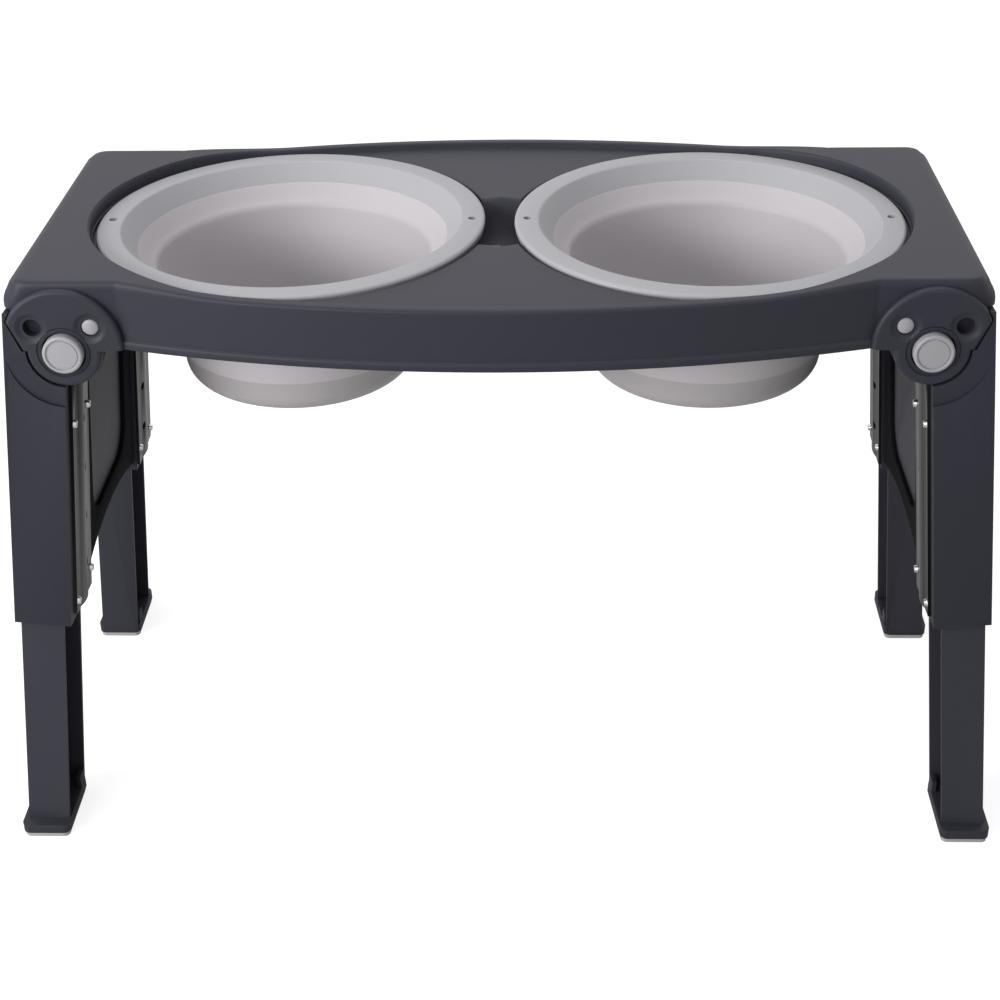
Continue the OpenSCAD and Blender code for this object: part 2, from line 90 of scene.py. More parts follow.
paper = bpy.data.materials.new("studio_paper")
paper.use_nodes = True
paper_nodes, paper_links = paper.node_tree.nodes, paper.node_tree.links
paper_nodes.clear()
paper_out = paper_nodes.new("ShaderNodeOutputMaterial")
paper_path = paper_nodes.new("ShaderNodeLightPath")
paper_bounce = paper_nodes.new("ShaderNodeBsdfDiffuse")
paper_bounce.inputs["Color"].default_value = (*[paper_bounce_grey] * 3, 1)
paper_seen = paper_nodes.new("ShaderNodeBsdfDiffuse")
paper_seen.inputs["Color"].default_value = (*[paper_seen_grey] * 3, 1)
paper_glow = paper_nodes.new("ShaderNodeEmission")
paper_glow.inputs["Strength"].default_value = paper_glow_strength
paper_sum = paper_nodes.new("ShaderNodeAddShader")
paper_mix = paper_nodes.new("ShaderNodeMixShader")
paper_links.new(paper_seen.outputs[0], paper_sum.inputs[0])
paper_links.new(paper_glow.outputs[0], paper_sum.inputs[1])
paper_links.new(paper_path.outputs["Is Camera Ray"], paper_mix.inputs[0])
paper_links.new(paper_bounce.outputs[0], paper_mix.inputs[1])
paper_links.new(paper_sum.outputs[0], paper_mix.inputs[2])
paper_links.new(paper_mix.outputs[0], paper_out.inputs["Surface"])
floor_mesh.materials.append(paper)
world = bpy.data.worlds.new("studio")
bpy.context.scene.world = world
world.use_nodes = True
sky_nodes, sky_links = world.node_tree.nodes, world.node_tree.links
sky_nodes.clear()
sky_out = sky_nodes.new("ShaderNodeOutputWorld")
sky_path = sky_nodes.new("ShaderNodeLightPath")
sky_lit = sky_nodes.new("ShaderNodeBackground")
sky_lit.inputs["Strength"].default_value = sky_strength
sky_seen = sky_nodes.new("ShaderNodeBackground")
sky_seen.inputs["Color"].default_value = (1, 1, 1, 1)
sky_mix = sky_nodes.new("ShaderNodeMixShader")
sky_white = sky_nodes.new("ShaderNodeMath")
sky_white.operation = "MAXIMUM"
sky_either = sky_nodes.new("ShaderNodeMath")
sky_either.operation = "MAXIMUM"
sky_links.new(sky_path.outputs["Is Camera Ray"], sky_white.inputs[0])
sky_links.new(sky_path.outputs["Is Transmission Ray"], sky_white.inputs[1])
sky_links.new(sky_white.outputs[0], sky_either.inputs[0])
sky_links.new(sky_path.outputs["Is Glossy Ray"], sky_either.inputs[1])
sky_links.new(sky_either.outputs[0], sky_mix.inputs[0])
sky_links.new(sky_lit.outputs[0], sky_mix.inputs[1])
sky_links.new(sky_seen.outputs[0], sky_mix.inputs[2])
sky_links.new(sky_mix.outputs[0], sky_out.inputs["Surface"])
for lamp_name, lamp_at, lamp_size, lamp_power in lamps:
    lamp_data = bpy.data.lights.new(lamp_name, "AREA")
    lamp_data.shape = "RECTANGLE"
    lamp_data.size, lamp_data.size_y = lamp_size
    lamp_data.energy = lamp_power
    lamp = bpy.data.objects.new(lamp_name, lamp_data)
    lamp.location = lamp_at
    lamp.rotation_euler = (lamp_aim - lamp.location).to_track_quat("-Z", "Y").to_euler()
    bpy.context.scene.collection.objects.link(lamp)

# Tray: one injection moulding in matte slate polypropylene, with a basin round both bowls, a seat for
# each, curved aprons with a bead along the lower edge, and a finger scoop between the bowls.
MM = 0.001
merge_m, sliver_m = 2e-6, 1e-6
tray_half, tray_corner_half, tray_mid_half, tray_top = 300.0, 118.0, 151.0, 400.0
corner_r, curve_r, bowl_x = 14.0, 804.2, 136.0
hole_r, seat_r, basin_end_r, guard_r = 110.8, 128.8, 130.0, 113.8
end_rise, rise_from, rise_to = 4.5, 150.0, 235.0
seat_z, basin_z, plate_z, guard_z = 393.0, 396.0, 390.0, 375.0
apron_z, skirt_z, apron_end = 361.0, 385.0, 263.0
bead_h, bead_out, tray_wall, basin_in = 5.0, 1.5, 3.0, 8.0
scoop_half, scoop_long, scoop_depth, scoop_wall, scoop_flare = 15.0, 39.0, 30.0, 2.5, 3.0
edge_front_r, edge_end_in, edge_end_down = 2.6, 11.0, 13.0
edge_turns_from, edge_turns_to, basin_turn = 286.0, 299.0, 0.3
ray_longest, ray_halvings, near_zero = 700.0, 44, 1e-6


def smooth(edge_0, edge_1, x):
    """Cubic step 3u^2 - 2u^3 of u = (x - edge_0) / (edge_1 - edge_0), held between 0 and 1."""
    u = np.clip((x - edge_0) / (edge_1 - edge_0), 0.0, 1.0)
    return u * u * (3.0 - 2.0 * u)


def tray_outline(x, y):
    """Signed distance to the outline: the lesser of a rounded rectangle and a lens of two circles."""
    qx, qy = np.abs(x) - (tray_half - corner_r), np.abs(y) - (tray_corner_half - corner_r)
    box = np.hypot(np.maximum(qx, 0), np.maximum(qy, 0)) + np.minimum(np.maximum(qx, qy), 0) - corner_r
    centre = curve_r - tray_mid_half
    lens = np.maximum(np.hypot(x, y - centre), np.hypot(x, y + centre)) - curve_r
    return np.minimum(box, np.maximum(lens, np.abs(x) - (tray_half - corner_r)))


def ray_reach(angle, inset):
    """Length of a ray from the left bowl's centre to the outline drawn in by inset, by halving."""
    shape = np.broadcast(angle, inset).shape
    low, high = np.zeros(shape), np.full(shape, ray_longest)
    for _ in range(ray_halvings):
        mid = (low + high) / 2
        inside = tray_outline(mid * np.cos(angle) - bowl_x, mid * np.sin(angle)) < -inset
        low, high = np.where(inside, mid, low), np.where(inside, high, mid)
    return low


def grid_faces(rows, columns, wrap_rows=False, wrap_columns=False):
    """Quads (i, j), (i+1, j), (i+1, j+1), (i, j+1) over a grid of rows by columns."""
    i = np.arange(rows if wrap_rows else rows - 1)[:, None]
    j = np.arange(columns if wrap_columns else columns - 1)[None, :]
    here, after = i * columns, (i + 1) % rows * columns
    j1 = (j + 1) % columns
    return np.stack([here + j, after + j, after + j1, here + j1], -1).reshape(-1, 4)


def make_piece(name, points, faces, material, body, sharp_deg=40.0):
    """Mesh of points in millimetres and quads, doubles merged, faces turned out, smooth up to an angle."""
    mesh = bpy.data.meshes.new(name)
    mesh.from_pydata((points.reshape(-1, 3) * MM).tolist(), [], faces.tolist())
    work = bmesh.new()
    work.from_mesh(mesh)
    bmesh.ops.remove_doubles(work, verts=work.verts, dist=merge_m)
    bmesh.ops.dissolve_degenerate(work, edges=work.edges, dist=sliver_m)
    bmesh.ops.recalc_face_normals(work, faces=work.faces)
    work.to_mesh(mesh)
    work.free()
    mesh.polygons.foreach_set("use_smooth", np.ones(len(mesh.polygons), dtype=bool))
    mesh.set_sharp_from_angle(angle=radians(sharp_deg))
    mesh.materials.append(material)
    made = bpy.data.objects.new(name, mesh)
    bpy.context.scene.collection.objects.link(made)
    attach(made, body)
    return made


def make_grain_group():
    """Node group of a spark-eroded mould surface: a fine grain of noise cells over slow patches.

    Colour and roughness are multiplied by 1 + patches * (slow noise - 0.5); the fine noise is the height.
    """
    group = bpy.data.node_groups.new("moulded_grain", "ShaderNodeTree")
    taken = (("Colour", "NodeSocketColor", (0.5, 0.5, 0.5, 1)), ("Roughness", "NodeSocketFloat", 0.5),
             ("Grain per metre", "NodeSocketFloat", 1500.0), ("Patches", "NodeSocketFloat", 0.08))
    for socket, kind, value in taken:
        group.interface.new_socket(socket, in_out="INPUT", socket_type=kind).default_value = value
    put_out = (("Colour", "NodeSocketColor"), ("Roughness", "NodeSocketFloat"), ("Height", "NodeSocketFloat"))
    for socket, kind in put_out:
        group.interface.new_socket(socket, in_out="OUTPUT", socket_type=kind)
    grain_detail, patches_per_metre, patch_detail, noise_middle = 2.0, 9.0, 4.0, 0.5
    nodes, links = group.nodes, group.links
    given, result = nodes.new("NodeGroupInput"), nodes.new("NodeGroupOutput")
    place = nodes.new("ShaderNodeTexCoord")
    grain = nodes.new("ShaderNodeTexNoise")
    grain.inputs["Detail"].default_value = grain_detail
    patch = nodes.new("ShaderNodeTexNoise")
    patch.inputs["Scale"].default_value = patches_per_metre
    patch.inputs["Detail"].default_value = patch_detail
    links.new(place.outputs["Object"], grain.inputs["Vector"])
    links.new(place.outputs["Object"], patch.inputs["Vector"])
    links.new(given.outputs["Grain per metre"], grain.inputs["Scale"])
    centred = nodes.new("ShaderNodeMath")
    centred.operation = "SUBTRACT"
    centred.inputs[1].default_value = noise_middle
    links.new(patch.outputs["Fac"], centred.inputs[0])
    share = nodes.new("ShaderNodeMath")
    share.operation = "MULTIPLY_ADD"
    share.inputs[2].default_value = 1.0
    links.new(centred.outputs[0], share.inputs[0])
    links.new(given.outputs["Patches"], share.inputs[1])
    tint = nodes.new("ShaderNodeVectorMath")
    tint.operation = "SCALE"
    links.new(given.outputs["Colour"], tint.inputs[0])
    links.new(share.outputs[0], tint.inputs["Scale"])
    dull = nodes.new("ShaderNodeMath")
    dull.operation = "MULTIPLY"
    links.new(given.outputs["Roughness"], dull.inputs[0])
    links.new(share.outputs[0], dull.inputs[1])
    links.new(tint.outputs[0], result.inputs["Colour"])
    links.new(dull.outputs[0], result.inputs["Roughness"])
    links.new(grain.outputs["Fac"], result.inputs["Height"])
    return group


grain_group = make_grain_group()
bump_strength = 0.6


def moulded_material(name, colour, roughness, grain, bump_mm, patches=0.08, specular=0.5, metallic=0.0):
    """Plastic, rubber or metal skin: the grain group drives colour, roughness and bump."""
    material = bpy.data.materials.new(name)
    material.use_nodes = True
    nodes, links = material.node_tree.nodes, material.node_tree.links
    skin = nodes["Principled BSDF"]
    skin.inputs["Specular IOR Level"].default_value = specular
    skin.inputs["Metallic"].default_value = metallic
    look = nodes.new("ShaderNodeGroup")
    look.node_tree = grain_group
    look.inputs["Colour"].default_value = (*colour, 1)
    look.inputs["Roughness"].default_value = roughness
    look.inputs["Grain per metre"].default_value = grain
    look.inputs["Patches"].default_value = patches
    bump = nodes.new("ShaderNodeBump")
    bump.inputs["Strength"].default_value = bump_strength
    bump.inputs["Distance"].default_value = bump_mm * MM
    links.new(look.outputs["Colour"], skin.inputs["Base Color"])
    links.new(look.outputs["Roughness"], skin.inputs["Roughness"])
    links.new(look.outputs["Height"], bump.inputs["Height"])
    links.new(bump.outputs["Normal"], skin.inputs["Normal"])
    return material


def scoop_floor(x, y, grow):
    """Pocket grown outwards: depth times 1 - (y / half length)^4 below the basin, with steep side walls."""
    along = basin_z - scoop_depth * (1 - (y / (scoop_long + grow)) ** 4)
    side = scoop_half + grow
    return along - grow + 2 * scoop_depth * smooth(side, side + scoop_flare, np.abs(x))


slate = moulded_material("slate_polypropylene", (0.027, 0.0275, 0.040), roughness=0.48, grain=1500.0,
                         bump_mm=0.10, specular=0.28)

# The left half is a fan of rays about its bowl. A row of the grid is one ray; its columns go from the
# bowl's hole over the seat, the basin and the outer edge, then back underneath to the hole.
inner_rays, outer_rays, no_limit = 221, 521, 1e4
middle_angle = np.arctan2(tray_mid_half - tray_wall, bowl_x)
inner_angle = middle_angle * np.sin(np.linspace(-pi / 2, pi / 2, inner_rays))
outer_angle = np.linspace(middle_angle, 2 * pi - middle_angle, outer_rays)
ray_angle = np.concatenate([inner_angle[:-1], outer_angle[:-1]])[:, None]
ray_x, ray_y = np.cos(ray_angle), np.sin(ray_angle)
ones = np.ones_like(ray_angle)
to_middle = np.where(ray_x > near_zero, bowl_x / np.maximum(ray_x, near_zero), no_limit)
outline_x = np.abs(ray_reach(ray_angle, 0 * ones) * ray_x - bowl_x)
end_share = smooth(edge_turns_from, edge_turns_to, outline_x)
edge_in = edge_front_r + (edge_end_in - edge_front_r) * end_share
edge_down = edge_front_r + (edge_end_down - edge_front_r) * end_share
is_side = outline_x > apron_end
foot_z = np.where(is_side, skirt_z, apron_z)
bead = np.where(is_side, 0.0, bead_out)
basin_side_r = ray_reach(np.array([[pi / 2]]), np.array([[basin_in]]))
basin_cap = basin_end_r + (basin_side_r - basin_end_r) * (1 - smooth(0.0, basin_turn, -ray_x))
basin_reach = ray_reach(ray_angle, basin_in * ones)
basin_reach = np.where(ray_x < 0, np.minimum(basin_reach, basin_cap), basin_reach)

# Top of a ray: the hole's broken edge, the seat with a fillet at its wall, the basin's floor, the step up
# to the tray's top, and the top as far as the rounded edge.
hole_break, seat_fillet, seat_fillet_mid, seat_break = 0.8, 1.0, 0.3, 0.6
basin_fillet, basin_least, basin_lip = 1.2, 0.7, 1.3
seat_rings = np.linspace(113.5, 127.0, 10)
basin_shares, top_shares = (0.15, 0.3, 0.45, 0.6, 0.75, 0.9, 1.0), (0.1, 0.5, 0.9)
basin_step = [(-0.3, basin_z + 0.4), (0.0, basin_z + basin_fillet), (0.1, tray_top - basin_fillet),
              (0.5, tray_top - 0.4), (basin_lip, tray_top)]
top_path = [(hole_r * ones, seat_z - hole_break), (hole_r * ones + hole_break, seat_z)]
top_path += [(r * ones, seat_z) for r in seat_rings]
top_path += [((seat_r - seat_fillet) * ones, seat_z),
             ((seat_r - seat_fillet_mid) * ones, seat_z + seat_fillet_mid),
             (seat_r * ones, seat_z + seat_fillet)]
basin_from = seat_r + seat_break
top_path += [(seat_r * ones, basin_z - seat_break), (basin_from * ones, basin_z)]
basin_floor = np.maximum(basin_reach - basin_fillet, seat_r + basin_least)
top_path += [(basin_from + (basin_floor - seat_r - seat_break) * u, basin_z) for u in basin_shares]
top_path += [(basin_reach + out, z) for out, z in basin_step]
edge_reach = ray_reach(ray_angle, edge_in)
top_path += [(basin_reach + basin_lip + (edge_reach - basin_reach - basin_lip) * u, tray_top)
             for u in top_shares]

# Outer edge of a ray: a quarter ellipse, the wall, the bead and its foot, each as inset and height.
edge_steps, bead_gap, bead_foot, foot_break = 9, 0.9, 1.0, 0.4
bead_curve, wall_shares = ((0.35, 0.35), (0.75, -0.2), (1.0, -1.0)), (0.5, 1.0)
wall_z = tray_top - edge_down
bead_z = np.minimum(foot_z + bead_h, wall_z - bead_gap)
edge_path = [(edge_in * (1 - sin(step)), tray_top - edge_down * (1 - cos(step)))
             for step in np.radians(np.linspace(0, 90, edge_steps))]
edge_path += [(0 * ones, wall_z + (bead_z + bead_gap - wall_z) * u) for u in wall_shares]
edge_path += [(-bead * part, np.minimum(bead_z + rise, wall_z)) for part, rise in bead_curve]
edge_path += [(-bead, foot_z + bead_foot), (foot_break - bead, foot_z)]
first_edge = len(top_path)
top_path += [(ray_reach(ray_angle, inset), z) for inset, z in edge_path]

# Underside of a ray: the wall's inner face, the plate and the guard ring round the hole.
plate_shares = (0.8, 0.6, 0.45, 0.3, 0.18, 0.08, 0.0)
least_gap = 1e-9
inner_reach = ray_reach(ray_angle, tray_wall * ones)
is_inside_ray = ray_x > np.cos(middle_angle) + least_gap
plate_end = np.where(is_inside_ray, to_middle, inner_reach)
under_path = [(inner_reach, foot_z), (inner_reach, plate_z)]
under_path += [(guard_r * ones + (plate_end - guard_r) * u, plate_z) for u in plate_shares]
under_path += [(guard_r * ones, guard_z), (hole_r * ones, guard_z)]
reach = np.concatenate([r + 0 * ones for r, z in top_path + under_path], axis=1)
height = np.concatenate([z + 0 * ones for r, z in top_path + under_path], axis=1)
is_top = np.arange(reach.shape[1])[None, :] < len(top_path)

# Rays towards the other bowl stop at the tray's middle, at the height where they cross it.
is_past = (reach > to_middle) & is_inside_ray
crossing = is_past[:, 1:] & ~is_past[:, :-1] & is_top[:, 1:]
stride = np.maximum(reach[:, 1:] - reach[:, :-1], least_gap)
share = np.clip((to_middle - reach[:, :-1]) / stride, 0, 1)
between_z = height[:, :-1] + share * (height[:, 1:] - height[:, :-1])
crossing_z = np.where(crossing, between_z, 0).sum(axis=1, keepdims=True)
height = np.where(is_past, np.where(is_top, crossing_z, plate_z), height)
reach = np.where(is_past, to_middle, reach)
tray_x = reach * ray_x - bowl_x
tray_y = reach * ray_y

# The outer edge's columns leave the wall's inner face along the outline's normal, not along the ray.
slope_step = 4.0
edge_inset = np.concatenate([inset + 0 * ones for inset, z in edge_path] + [tray_wall * ones] * 2, axis=1)
edge_columns = slice(first_edge, first_edge + edge_inset.shape[1])
base_x, base_y = inner_reach * ray_x - bowl_x, inner_reach * ray_y
slope_x = tray_outline(base_x + slope_step, base_y) - tray_outline(base_x - slope_step, base_y)
slope_y = tray_outline(base_x, base_y + slope_step) - tray_outline(base_x, base_y - slope_step)
slope = np.hypot(slope_x, slope_y)
out_x = base_x + slope_x / slope * (tray_wall - edge_inset)
out_y = base_y + slope_y / slope * (tray_wall - edge_inset)
tray_x[:, edge_columns] = np.where(is_inside_ray, tray_x[:, edge_columns], out_x)
tray_y[:, edge_columns] = np.where(is_inside_ray, tray_y[:, edge_columns], out_y)

# The top rises towards the tray's ends, the scoop sinks between the bowls, and the half is mirrored.
middle_mm = 1e-4
over_basin = np.clip((height - basin_z) / (tray_top - basin_z), 0, 1)
height = height + over_basin * end_rise * smooth(rise_from, rise_to, np.abs(tray_x))
is_plate = (~is_top) & (np.abs(height - plate_z) < near_zero)
height = np.where(is_top, np.minimum(height, scoop_floor(tray_x, tray_y, 0.0)), height)
height = np.where(is_plate, np.minimum(height, scoop_floor(tray_x, tray_y, scoop_wall)), height)
half_points = np.stack([tray_x, tray_y, height], -1).reshape(-1, 3)
half_faces = grid_faces(*height.shape, True, True)
on_middle = np.abs(half_points[:, 0]) < middle_mm
half_faces = half_faces[~on_middle[half_faces].all(axis=1)]
tray_points = np.concatenate([half_points, half_points * (-1, 1, 1)])
tray_faces = np.concatenate([half_faces, half_faces[:, ::-1] + len(half_points)])
tray_piece = make_piece("tray_moulding", tray_points, tray_faces, slate, "tray_body")
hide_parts("tray")

# Ears: the four round ends of the tray that carry the leg pivots, part of the same moulding, each with
# a bore for the bush and two dished holes for the lock pin.
pivot_x, pivot_z, ear_y, ear_back = 263.0, 360.0, -122.5, -115.0
ear_r, boss_r, bore_r, ear_round, bore_break = 37.0, 23.0, 16.1, 2.8, 0.6
pin_off, pin_hole_r, pin_hole_flat, dish_hole_r, dish_hole_t = 24.0, 5.6, 0.8, 10.4, 1.6
ear_up, ear_low = 4.0, 1.4
hole_angles = np.radians([42.25, 137.75])
stop_line, stop_facing, no_stop = radians(22.7), 0.3, 1e3
upper_rays, lower_rays, face_rings, edge_rings, ear_sharp_deg = 300, 160, 44, 7, 35.0
drill_tip, drill_front, drill_length, drill_sides = 1e-4, -2.0, 10.0, 48
corners = {"front_left": (1, 1), "front_right": (-1, 1), "rear_left": (1, -1), "rear_right": (-1, -1)}


def turned_front(profile, angles, centre, front_y):
    """A profile of (radius, depth) turned about a pivot axis.

    x = centre + r cos t, z = centre + r sin t, y = front + depth.
    """
    r, d = profile[None, :, 0], profile[None, :, 1]
    t = angles[:, None]
    return np.stack([centre[0] + r * np.cos(t), front_y + d + 0 * t, centre[1] + r * np.sin(t)], -1)


def drill_outline(radius, low, high):
    """Half section of a plain drill as (radius, height), from the middle of one end to that of the other."""
    return np.array([(drill_tip, low), (radius, low), (radius, high), (drill_tip, high)])


def drill(piece, tools, sharp_deg):
    """Cuts holes through a piece: its mesh less a closed tool for each hole, a grid in millimetres."""
    rows, columns = tools[0].shape[:2]
    faces = grid_faces(rows, columns, True, False)
    mesh = bpy.data.meshes.new("drill")
    mesh.from_pydata((np.concatenate(tools).reshape(-1, 3) * MM).tolist(), [],
                     np.concatenate([faces + k * rows * columns for k in range(len(tools))]).tolist())
    work = bmesh.new()
    work.from_mesh(mesh)
    bmesh.ops.remove_doubles(work, verts=work.verts, dist=merge_m)
    bmesh.ops.recalc_face_normals(work, faces=work.faces)
    work.to_mesh(mesh)
    work.free()
    tool = bpy.data.objects.new("drill", mesh)
    bpy.context.scene.collection.objects.link(tool)
    cut = piece.modifiers.new("holes", "BOOLEAN")
    cut.object = tool
    bpy.context.view_layer.update()
    drilled = bpy.data.meshes.new_from_object(piece.evaluated_get(bpy.context.evaluated_depsgraph_get()))
    piece.modifiers.clear()
    piece.data = drilled
    drilled.set_sharp_from_angle(angle=radians(sharp_deg))
    bpy.data.objects.remove(tool)


low_right = np.degrees(np.arcsin(ear_low / ear_r))
low_left = 180 - np.degrees(np.arcsin(ear_low / boss_r))
ear_angle = np.radians(np.concatenate([np.linspace(low_right, low_left, upper_rays),
                                       np.linspace(low_left, 360 + low_right, lower_rays)]))
is_upper = np.arange(ear_angle.size) < upper_rays
facing = np.cos(ear_angle - stop_line)
ear_disc = ear_up * np.sin(ear_angle) + np.sqrt(ear_r ** 2 - (ear_up * np.cos(ear_angle)) ** 2)
ear_stop = np.where(facing < -stop_facing, boss_r / np.maximum(-facing, stop_facing), no_stop)
ear_edge = np.where(is_upper, np.minimum(ear_disc, ear_stop), boss_r)[:, None]
ear_cos, ear_sin = np.cos(ear_angle)[:, None], np.sin(ear_angle)[:, None]
face_share = np.linspace(0, 1, face_rings)[None, :]
face_r = bore_r + bore_break + (ear_edge - ear_round - bore_r - bore_break) * face_share
face_depth = np.zeros_like(face_r)
hole_places = [(pin_off * cos(hole_angle), pin_off * sin(hole_angle)) for hole_angle in hole_angles]
for hole_a, hole_b in hole_places:
    far = np.hypot(face_r * ear_cos - hole_a, face_r * ear_sin - hole_b)
    dished = dish_hole_t * (1 - smooth(pin_hole_r + pin_hole_flat, dish_hole_r, far))
    face_depth = np.maximum(face_depth, dished)
turn_over = np.radians(np.linspace(0, 90, edge_rings))[None, 1:]
rim_r = ear_edge - ear_round * (1 - np.sin(turn_over))
rim_depth = ear_round * (1 - np.cos(turn_over)) + 0 * ear_edge
bore_ring, back_ring = bore_r + 0 * ear_edge, ear_back - ear_y + 0 * ear_edge
ear_ray_r = np.concatenate([face_r, rim_r, ear_edge, bore_ring, bore_ring], axis=1)
ear_depth = np.concatenate([face_depth, rim_depth, back_ring, back_ring, bore_break + 0 * ear_edge], axis=1)
ear_points = np.stack([ear_ray_r * ear_cos - pivot_x, ear_depth + ear_y, ear_ray_r * ear_sin + pivot_z], -1)
ear_faces = grid_faces(*ear_depth.shape, True, True)
pin_drill = drill_outline(pin_hole_r, drill_front, drill_length)
drill_round = np.linspace(0, 2 * pi, drill_sides + 1)[:-1]
pin_drills = [turned_front(pin_drill, drill_round, (hole_a - pivot_x, hole_b + pivot_z), ear_y)
              for hole_a, hole_b in hole_places]
for corner, (flip_x, flip_y) in corners.items():
    flip = (flip_x, flip_y, 1)
    ear = make_piece("tray_ear_" + corner, ear_points * flip, ear_faces, slate, "tray_body", ear_sharp_deg)
    drill(ear, [tool * flip for tool in pin_drills], ear_sharp_deg)

# Bowls: a rigid light grey rim ring with two small holes, a soft wall that folds flat, moulded onto it,
# and a rigid dish at the bottom. They drop into the tray's seats.
rim_z, rim_outer, rim_inner, rim_t, rim_hole_r = 393.2, 126.4, 109.5, 5.0, 2.7
rim_edge_r, rim_edge_deg, rim_tuck, rim_drill_past = 2.2, -35, 0.5, 2.0
roll_r, cone_deg = 2.5, 38.0
collar_r, wall_top, wall_low, wall_t = 110.0, 385.9, 317.2, 2.0
wall_fold_out, wall_fold_in = [[96.0, 376.9], [92.0, 373.9]], [[90.0, 373.9], [94.4, 377.6]]
wall_step, wall_ease_out, wall_ease_in = 0.5, 4.0, 5.0
wall_sharp_deg, wall_keep = 60.0, 0.035
dish_r, dish_floor, dish_depth, dish_edge_r, dish_wall, dish_draft = 80.0, 293.2, 24.0, 15.0, 3.0, 2.0
dish_foot_in, dish_foot_out, dish_lift, dish_lift_mid = 48.0, 52.0, 1.0, 1.2
bowl_sides, roll_points, rim_edge_points, dish_edge_points, rim_drill_every = 192, 7, 8, 14, 8
rim_sharp_deg = 40.0
rim_grey = moulded_material("rim_grey", (0.42, 0.42, 0.447), roughness=0.42, grain=1800.0,
                            bump_mm=0.04, patches=0.04)
# The soft wall and the dish share one warm grey. The wall's copy is painted lighter, which is painted light
# on the bowl's inside. The dish's copy is painted darker, which is painted shade at the bowl's bottom.
wall_grey_painted_light = moulded_material("wall_grey_painted_light", (0.54, 0.51, 0.53), roughness=0.5, grain=900.0,
                             bump_mm=0.05, patches=0.06)
dish_grey_painted_shade = moulded_material("dish_grey_painted_shade", (0.43, 0.405, 0.42), roughness=0.45, grain=1200.0,
                             bump_mm=0.04, patches=0.05)


def arc(ca, cb, r, start_deg, end_deg, count):
    """Points (ca + r cos t, cb + r sin t) of a circle from one angle to another."""
    t = np.radians(np.linspace(start_deg, end_deg, count))
    return np.stack([ca + r * np.cos(t), cb + r * np.sin(t)], -1)


def eased(points, spacing, reach_mm):
    """Polyline resampled at even spacing and averaged over a window, which rounds its bends."""
    points = np.asarray(points, dtype=float)
    along = np.concatenate([[0], np.cumsum(np.hypot(*np.diff(points, axis=0).T))])
    count = int(along[-1] / spacing) + 2
    even = np.linspace(0, along[-1], count)
    line = np.stack([np.interp(even, along, points[:, k]) for k in (0, 1)], -1)
    window = 2 * int(reach_mm / spacing / 2) + 1
    pad = window // 2
    front = 2 * line[0] - line[1:pad + 1][::-1]
    back = 2 * line[-1] - line[-pad - 1:-1][::-1]
    full = np.concatenate([front, line, back])
    return np.stack([np.convolve(full[:, k], np.ones(window) / window, "valid") for k in (0, 1)], -1)


def revolved(profile, angles, centre_x):
    """A profile of (radius, height) turned about an upright axis: x = c + r cos t, y = r sin t, z = h."""
    r, h = profile[None, :, 0], profile[None, :, 1]
    t = angles[:, None]
    return np.stack([centre_x + r * np.cos(t), r * np.sin(t), h + 0 * t], -1)


around = np.linspace(0, 2 * pi, bowl_sides + 1)[:-1]
rim_top = rim_z + rim_t
roll = arc(rim_inner + roll_r, rim_top - roll_r, roll_r, 90, 180 - cone_deg, roll_points)
cone_low = roll[-1, 0] - (roll[-1, 1] - wall_top) * np.tan(radians(cone_deg))
rim_profile = np.concatenate([
    [[cone_low, wall_top], [collar_r, wall_top], [collar_r, rim_z], [rim_outer - rim_tuck, rim_z]],
    arc(rim_outer - rim_edge_r, rim_top - rim_edge_r, rim_edge_r, rim_edge_deg, 90, rim_edge_points),
    roll])
wall_outer = eased([[collar_r, wall_top], *wall_fold_out, [dish_r, wall_low]], wall_step, wall_ease_out)
wall_inner = eased([[dish_r - wall_t, wall_low], *wall_fold_in, [cone_low, wall_top]], wall_step,
                   wall_ease_in)
wall_profile = np.concatenate([wall_outer, wall_inner])
dish_edge_at = (dish_r - dish_draft - dish_edge_r, dish_floor + dish_edge_r)
dish_profile = np.concatenate([
    [[0.0, dish_floor + dish_lift_mid], [dish_foot_in, dish_floor + dish_lift], [dish_foot_out, dish_floor]],
    arc(*dish_edge_at, dish_edge_r, -90, 0, dish_edge_points),
    [[dish_r, dish_floor + dish_depth], [dish_r - dish_wall, dish_floor + dish_depth]],
    arc(*dish_edge_at, dish_edge_r - dish_wall, 0, -90, dish_edge_points),
    [[0.0, dish_floor + dish_wall]]])
rim_drill = drill_outline(rim_hole_r, rim_z - rim_drill_past, rim_top + rim_drill_past)
rim_drill_round = around[::rim_drill_every]
hole_off = (rim_outer + rim_inner) / 2
for side, centre_x in (("left", -bowl_x), ("right", bowl_x)):
    rim_points = revolved(rim_profile, around, centre_x)
    rim_faces = grid_faces(*rim_points.shape[:2], True, True)
    rim = make_piece("bowl_rim_ring_" + side, rim_points, rim_faces, rim_grey, "bowl_" + side)
    rim_drills = [revolved(rim_drill, rim_drill_round, centre_x + way * hole_off) for way in (-1, 1)]
    drill(rim, rim_drills, rim_sharp_deg)
    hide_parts("bowl_rim_" + side)
    wall_points = revolved(wall_profile, around, centre_x)
    wall_faces = grid_faces(*wall_points.shape[:2], True, True)
    wall = make_piece("bowl_soft_wall_" + side, wall_points, wall_faces, wall_grey_painted_light, "bowl_" + side,
                      wall_sharp_deg)
    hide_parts("bowl_wall_" + side)
    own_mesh(wall)
    dish_points = revolved(dish_profile, around, centre_x)
    dish_faces = grid_faces(*dish_points.shape[:2], True, False)
    dish = make_piece("bowl_base_" + side, dish_points, dish_faces, dish_grey_painted_shade, "dish_" + side)
    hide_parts("bowl_dish_" + side)

